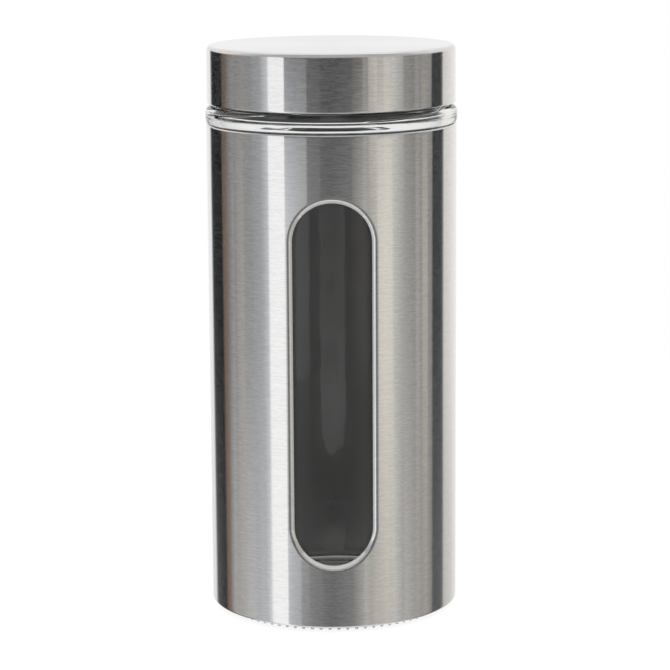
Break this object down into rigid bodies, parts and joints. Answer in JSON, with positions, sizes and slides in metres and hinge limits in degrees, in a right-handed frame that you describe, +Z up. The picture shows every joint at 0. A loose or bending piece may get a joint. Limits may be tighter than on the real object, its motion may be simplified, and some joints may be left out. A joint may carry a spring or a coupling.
{
  "type": "food canister",
  "caption": "Tall cylindrical food canister: a threaded glass jar in a brushed steel sleeve with a long rounded window, closed by a steel screw lid over a sealing ring.",
  "frame": {"origin": "centre of the ring of knurls that the jar stands on, at table height", "axes": "+Z up along the canister's axis, -Y through the middle of the window, +X to the right of a person who faces the window"},
  "size_m": [0.1106, 0.1106, 0.2511],
  "materials": {
    "clear_glass": "clear pressed glass",
    "brushed_steel": "fine brushing round the axis, half bright",
    "liner_plastic": "moulded satin white",
    "seal_rubber": "smooth translucent silicone"
  },
  "bodies": {
    "jar": {"glass_jar": "clear_glass", "steel_sleeve": "brushed_steel"},
    "seal": {"seal_ring": "seal_rubber"},
    "lid": {"lid_shell": "brushed_steel", "lid_liner": "liner_plastic"}
  },
  "joints": [
    {"name": "lid_lift", "type": "slide", "parent": "jar", "child": "seal", "axis": [0, 0, 1], "range_m": [0, 0.03]},
    {"name": "lid_turn", "type": "hinge", "parent": "seal", "child": "lid", "pos_m": [0, 0, 0], "axis": [0, 0, 1], "range_deg": [0, 540]}
  ],
  "couplings": [
    {"joint": "lid_lift", "follows": "lid_turn", "m_per_rad": 0.0031831}
  ]
}
